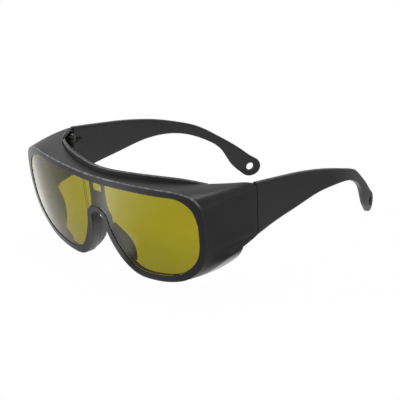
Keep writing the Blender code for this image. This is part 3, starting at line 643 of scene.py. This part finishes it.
def steel():
    """Turned steel: fine rings about the screw's axis, a little tarnish."""
    material = bpy.data.materials.new("turned_screw_steel")
    material.use_nodes = True
    tree = material.node_tree
    shader = tree.nodes["Principled BSDF"]
    shader.inputs["Metallic"].default_value = 1.0
    place = put(tree, "ShaderNodeTexCoord").outputs["Object"]
    stretched = put(tree, "ShaderNodeMapping", {"Vector": place, "Scale": (500.0, 500.0, 6000.0)}).outputs[0]
    rings = put(tree, "ShaderNodeTexNoise", {"Vector": stretched, "Scale": 1.0, "Detail": 2.0}).outputs[0]
    tarnish = put(tree, "ShaderNodeTexNoise", {"Vector": place, "Scale": 700.0, "Detail": 3.0}).outputs[0]
    colour = blend_colours(tree, tarnish, (0.09, 0.09, 0.095, 1), (0.16, 0.158, 0.155, 1))
    tree.links.new(colour, shader.inputs["Base Color"])
    tree.links.new(spread(tree, rings, 0.3, 0.7, 0.22, 0.42), shader.inputs["Roughness"])
    bump = put(tree, "ShaderNodeBump", {"Height": rings, "Strength": 0.2, "Distance": 0.01 * MM})
    tree.links.new(bump.outputs["Normal"], shader.inputs["Normal"])
    return material


def pair_tree():
    """Sets one piece at both hinges."""
    tree, given = new_tree("hinge_pair", {"Half Spread": "NodeSocketFloat", "Back": "NodeSocketFloat",
                                          "Material": "NodeSocketMaterial"})
    ends = [put(tree, "ShaderNodeCombineXYZ", {"X": x, "Y": given["Back"]}).outputs[0]
            for x in (given["Half Spread"], math_node(tree, "MULTIPLY", given["Half Spread"], -1.0))]
    line = put(tree, "GeometryNodeMeshLine", {"Count": 2, "Start Location": ends[0], "Offset": ends[1]},
               mode="END_POINTS").outputs[0]
    pair = put(tree, "GeometryNodeInstanceOnPoints",
               {"Points": line, "Instance": given["Geometry"]}).outputs[0]
    return close_tree(tree, pair, given["Material"])


screw_steel = steel()
seat, head_top, foot = screw_high.z - head_height, screw_high.z, screw_low.z
profile = [(0.6, foot), (screw_radius, foot + 0.4), (screw_radius, seat - 0.1), (screw_radius + 0.1, seat),
           (head_radius - 0.15, seat), (head_radius, seat + 0.15), (head_radius, head_top - 0.4),
           (head_radius - 0.1, head_top - 0.2), (head_radius - 0.35, head_top - 0.05), (0.6, head_top)]
hinge_screws = turned("hinge_screw_pair", profile, screw_steel)
low, high = head_top - slot_depth, head_top + slot_above
slot_plan = [(x * slot_reach, y * slot_width / 2) for x, y in ((-1, -1), (1, -1), (1, 1), (-1, 1))]
slot_box = np.array([[(x, y, z) for x, y in slot_plan] for z in (low, high)])
cut_away(hinge_screws, add_piece("slot_cutter", *loft(slot_box), screw_steel))
grow(hinge_screws, pair_tree(), {"Half Spread": hinge_x * MM, "Back": hinge_y * MM, "Material": screw_steel})
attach(hinge_screws, "front")
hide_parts("hinge_screw_right", "hinge_screw_left")


# Temples: flat black nylon arms that lean in and drop behind the ear, each with one knuckle between the
# frame's two and a lanyard hole in its round tip. All edges are eased by the mould.
joint_gap, temple_drop, temple_root, arm_setback = 0.4, 0.8, 30.0, 1.1
temple_front_y, temple_top = joint_y + joint_gap, roof_top - temple_drop
tip_y, tip_radius, tip_slope = 84.0, 6.3, math.radians(48)
temple_thickness, temple_round, root_round, hole_radius, hole_round = 3.2, 0.8, 0.25, 2.6, 0.5
lean, hook_lean, hook_start, hook_length, bend_height = 0.06, 0.5, 62.0, 34.0, 7.2
temple_black = plastic("black_temple_nylon", (0.014, 0.014, 0.015), (0.06, 0.06, 0.062),
                       roughness=0.44, grain=0.35, depth=0.025, specular=0.42)


def temple_x(y):
    """Outer face of the +X temple in plan."""
    run = y - joint_y
    past = np.clip(run - hook_start, 0, hook_length)
    beyond = np.maximum(run - hook_start - hook_length, 0)
    return joint_half - lean * run - (hook_lean - lean) * (past * past / (2 * hook_length) + beyond)


def temple_point(y, z, inward):
    """Points at a depth inward from the temple's outer face."""
    slope = (temple_x(y + 0.01) - temple_x(y - 0.01)) / 0.02
    length = np.hypot(1, slope)
    return np.stack([temple_x(y) - inward / length, y + inward * slope / length, z], axis=-1)


def temple_edges():
    """Matching points on a temple's upper and lower edges in its own plane, from the joint to the tip."""
    root, run, drop = temple_front_y, tip_y - temple_front_y, temple_top - tip_radius
    low = temple_top - temple_root
    along = np.array([math.cos(tip_slope), -math.sin(tip_slope)])
    across = np.array([math.sin(tip_slope), math.cos(tip_slope)])
    tip = np.array([tip_y, tip_radius])
    top_shares = ((0, 0), (0.152, 0.041), (0.314, 0.090), (0.476, 0.165), (0.622, 0.263), (0.752, 0.380),
                  (0.857, 0.555), (0.942, 0.717))
    upper = [(root + a * run, temple_top - b * drop) for a, b in top_shares]
    upper += [tuple(tip + tip_radius * (0.814 * across - along)), tuple(tip + tip_radius * across)]
    lower = [(root, low), (root + 0.116 * run, low + 0.065 * drop), (root + 0.266 * run, low + 0.125 * drop),
             (root + 0.428 * run, low + 0.186 * drop), (root + 0.574 * run, upper[4][1] - bend_height),
             (root + 0.687 * run, upper[5][1] - 0.548 * bend_height),
             (root + 0.785 * run, upper[6][1] - 0.086 * bend_height),
             (root + 0.857 * run, upper[7][1] + 0.053 * bend_height),
             tuple(tip - tip_radius * (across + 1.5 * along)), tuple(tip - tip_radius * across)]
    edges = []
    for points in (np.array(upper), np.array(lower)):
        padded = np.vstack([2 * points[0] - points[1], points, 2 * points[-1] - points[-2]])
        edges.append(curve_through(padded, 14))
    turn = np.radians(np.concatenate([np.linspace(86, 20, 18), np.linspace(17, 1, 12)]))[:, None]
    centres = tip + tip_radius * np.cos(turn) * along
    reach_up = tip_radius * np.sin(turn) * across
    return np.vstack([edges[0], centres + reach_up]), np.vstack([edges[1], centres - reach_up])


def off_line(points, line):
    """Distance of points from a run of straight pieces, all in one plane."""
    a, b = line[:-1], line[1:]
    along = b - a
    share = np.einsum("pij,ij->pi", points[:, None] - a, along) / np.einsum("ij,ij->i", along, along)
    nearest = a + np.clip(share, 0, 1)[..., None] * along
    return np.linalg.norm(points[:, None] - nearest, axis=2).min(axis=1)


def rounded_in(distance, radius):
    """How far a face falls back towards an eased edge."""
    near = np.clip(radius - distance, 0, radius)
    return radius - np.sqrt(radius * radius - near * near)


upper, lower = temple_edges()
easing = np.array([0, 0.04, 0.12, 0.25, 0.42, 0.65, 1.0]) * temple_round
grid = []
for top_point, low_point in zip(upper, lower):
    height = float(np.linalg.norm(top_point - low_point))
    near = np.minimum(easing / height, 0.25 * easing / easing[-1])
    shares = np.concatenate([near, np.linspace(near[-1], 1 - near[-1], 14)[1:-1], 1 - near[::-1]])
    grid.append(low_point + shares[:, None] * (top_point - low_point))
first = grid[0]
extra = [first + (grid[1] - first) * share for share in (0.04, 0.1, 0.2, 0.35)]
grid = np.array([first] + extra + grid[1:])
flat = grid.reshape(-1, 2)
border = np.vstack([lower, upper[::-1]])
fall = np.maximum(rounded_in(off_line(flat, border), temple_round),
                  rounded_in(flat[:, 0] - temple_front_y, root_round))
outside = temple_point(flat[:, 0], flat[:, 1], fall)
inside = temple_point(flat[:, 0], flat[:, 1], temple_thickness - fall)
rows, size = grid.shape[:2]
sheet = sheet_faces(rows, size)
rim = np.concatenate([np.arange(size), np.arange(1, rows) * size + size - 1,
                      (rows - 1) * size + np.arange(size - 2, -1, -1), np.arange(rows - 2, 0, -1) * size])
band = np.stack([rim, np.roll(rim, -1), np.roll(rim, -1) + rows * size, rim + rows * size], axis=1)
faces = np.vstack([sheet, sheet[:, ::-1] + rows * size, band]).tolist()
points = np.vstack([outside, inside])
edge = np.tile(np.clip(fall / temple_round, 0, 1), 2)
spool = [(hole_radius + hole_round, -1.0), (hole_radius + hole_round, 0.02)]
spool += [(hole_radius + hole_round * (1 - math.sin(a)), hole_round * (1 - math.cos(a)) + 0.02)
          for a in np.radians((18, 36, 54, 72, 90))]
spool += [(radius, temple_thickness - inward) for radius, inward in reversed(spool)]
arm_start = joint_y + arm_setback
temple_plan = np.vstack([arc((hinge_x, hinge_y), knuckle_radius, 180, 360, 24), [
    (hinge_x + knuckle_radius, arm_start), (joint_half - temple_thickness + 0.5, arm_start + 1.5),
    (joint_half - temple_thickness + 0.6, arm_start + 6.0), (hinge_x - knuckle_radius, arm_start)]])
lengthwise = np.array([-hook_lean, 1, 0]) / math.hypot(1, hook_lean)
turn = np.linspace(0, 2 * math.pi, 64, endpoint=False)[:, None]
hole_ring = np.cos(turn) * lengthwise + np.sin(turn) * (0, 0, 1)
hole = np.stack([temple_point(np.array(tip_y), np.array(tip_radius), inward) + radius * hole_ring
                 for radius, inward in spool])
for side, end in ((1, "right"), (-1, "left")):
    arm = add_piece(f"temple_arm_{end}", points * (side, 1, 1), faces, temple_black, edge)
    cut_away(arm, add_piece("lanyard_hole_cutter", *loft(hole * (side, 1, 1)), temple_black))
    barrel = knuckle(f"temple_knuckle_{end}", temple_plan, knuckle_top - knuckle_step, temple_black)
    if side < 0:
        barrel.data.transform(Matrix.Scale(-1, 4, (1, 0, 0)))
        tidy_mesh(barrel)
    for piece in (arm, barrel):
        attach(piece, f"temple_{end}")
        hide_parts(f"temple_{end}")


# Studio: a white floor that the camera sees as white, a white room that dims upwards, and soft boxes overhead
# and at the left. Light boards lie on the floor, where only mirrored light sees them, and streak the lens.
floor_half, fan_y, board_full = 4.0, -0.070, 3.0
board_fan = ((-60, 0.5), (-10, 2.4), (1, 2.8), (3, 2.2), (4.5, 1.6), (7.5, 1.15), (12, 0.9), (16, 0.72),
             (20, 0.65), (31, 0.5), (38, 0.6), (45, 1.25), (50, 2.1), (53, 2.8), (57, 2.3), (65, 1.4),
             (75, 1.0), (90, 0.5), (110, 0.35), (150, 0.4))
under_object = ((0.02, 0.01, 0.0), 0.080, 0.095, 0.4)
before_notch = ((-0.010, -0.099, 0.0), 0.012, 0.023, 0.45)


def floor_patch(tree, shade, place, centre, inner, outer, level):
    """Lays an even round patch over the boards."""
    away = put(tree, "ShaderNodeVectorMath", {0: place, 1: centre}, operation="DISTANCE").outputs["Value"]
    return blend_colours(tree, spread(tree, away, inner, outer, 1.0, 0.0), shade, (level, level, level, 1))


def studio_floor():
    """White floor: white to the eye and through the lens, with the object's shadow left in it."""
    material = bpy.data.materials.new("white_sweep")
    material.use_nodes = True
    tree = material.node_tree
    tree.nodes.clear()
    path = put(tree, "ShaderNodeLightPath").outputs
    seen = math_node(tree, "MAXIMUM", path["Is Camera Ray"], path["Is Transmission Ray"])
    paint = put(tree, "ShaderNodeBsdfDiffuse", {"Color": (0.8, 0.8, 0.8, 1)}).outputs[0]
    glow = put(tree, "ShaderNodeEmission", {"Color": (1, 1, 1, 1), "Strength": 1.0}).outputs[0]
    plain = put(tree, "ShaderNodeMixShader", {0: math_node(tree, "MULTIPLY", seen, 0.985), 1: paint, 2: glow})
    place = put(tree, "ShaderNodeTexCoord").outputs["Object"]
    spot = put(tree, "ShaderNodeSeparateXYZ", {0: place}).outputs
    ahead = math_node(tree, "SUBTRACT", fan_y, spot["Y"])
    turn = math_node(tree, "ARCTAN2", ahead, math_node(tree, "MULTIPLY", spot["X"], -1.0))
    fan = put(tree, "ShaderNodeValToRGB", {0: spread(tree, turn, -math.pi, math.pi, 0.0, 1.0)})
    stops = fan.color_ramp.elements
    for stop in stops:
        stop.color = (0.15, 0.15, 0.15, 1)
    for degrees, strength in board_fan:
        stops.new((degrees + 180) / 360).color = (*[strength / board_full] * 3, 1)
    shade = fan.outputs[0]
    for patch in (under_object, before_notch):
        shade = floor_patch(tree, shade, place, *patch)
    board = put(tree, "ShaderNodeEmission", {"Color": shade, "Strength": board_full}).outputs[0]
    mirrored = math_node(tree, "GREATER_THAN", path["Is Glossy Ray"],
                         math_node(tree, "ADD", path["Is Transmission Ray"], 0.5))
    mixed = put(tree, "ShaderNodeMixShader", {0: mirrored, 1: plain.outputs[0], 2: board})
    put(tree, "ShaderNodeOutputMaterial", {"Surface": mixed.outputs[0]})
    return material


mesh = bpy.data.meshes.new("white_floor")
corners = [(x * floor_half, y * floor_half, 0) for x, y in ((-1, -1), (1, -1), (1, 1), (-1, 1))]
mesh.from_pydata(corners, [], [(0, 1, 2, 3)])
mesh.materials.append(studio_floor())
floor = bpy.data.objects.new("white_floor", mesh)
bpy.context.scene.collection.objects.link(floor)

world = bpy.data.worlds.new("studio")
bpy.context.scene.world = world
world.use_nodes = True
tree = world.node_tree
background = tree.nodes["Background"]
background.inputs["Color"].default_value = (1, 1, 1, 1)
look = put(tree, "ShaderNodeTexCoord").outputs["Generated"]
up = put(tree, "ShaderNodeSeparateXYZ", {0: look}).outputs["Z"]
tree.links.new(spread(tree, up, 0.0, 0.6, 0.95, 0.45), background.inputs["Strength"])


def soft_box(name, watts, width, length, place):
    """A soft lamp that points down and isn't seen through the lens."""
    light = bpy.data.lights.new(name, "AREA")
    light.energy, light.shape, light.size, light.size_y = watts, "RECTANGLE", width, length
    lamp = bpy.data.objects.new(name, light)
    lamp.location = place
    lamp.visible_transmission = False
    bpy.context.scene.collection.objects.link(lamp)
    return lamp


soft_box("overhead_soft_box", 4.0, 0.5, 0.4, (-0.10, 0.15, 1.0))
side_lamp = soft_box("left_soft_box", 3.0, 0.5, 0.5, (-0.72, -0.42, 0.66))
to_lens = Vector((0, -0.05, 0.04)) - side_lamp.location
side_lamp.rotation_euler = to_lens.to_track_quat("-Z", "Y").to_euler()

azimuth, elevation, roll = (math.radians(angle) for angle in (47.4, 19.8, 2.26))
aim, distance = Vector((0.02709, -0.03389, 0.03320)), 0.911
back = Vector((math.sin(azimuth) * math.cos(elevation), -math.cos(azimuth) * math.cos(elevation),
               math.sin(elevation)))
level = Vector((math.cos(azimuth), math.sin(azimuth), 0))
upward = back.cross(level)
across = level * math.cos(roll) - upward * math.sin(roll)
lens = bpy.data.cameras.new("camera")
lens.sensor_width, lens.lens = 36.0, 144.0
camera = bpy.data.objects.new("camera", lens)
turned_to_aim = Matrix((across, back.cross(across), back)).transposed().to_4x4()
camera.matrix_world = Matrix.Translation(aim + back * distance) @ turned_to_aim
bpy.context.scene.collection.objects.link(camera)
bpy.context.scene.camera = camera
bpy.context.scene.view_settings.view_transform = "Standard"
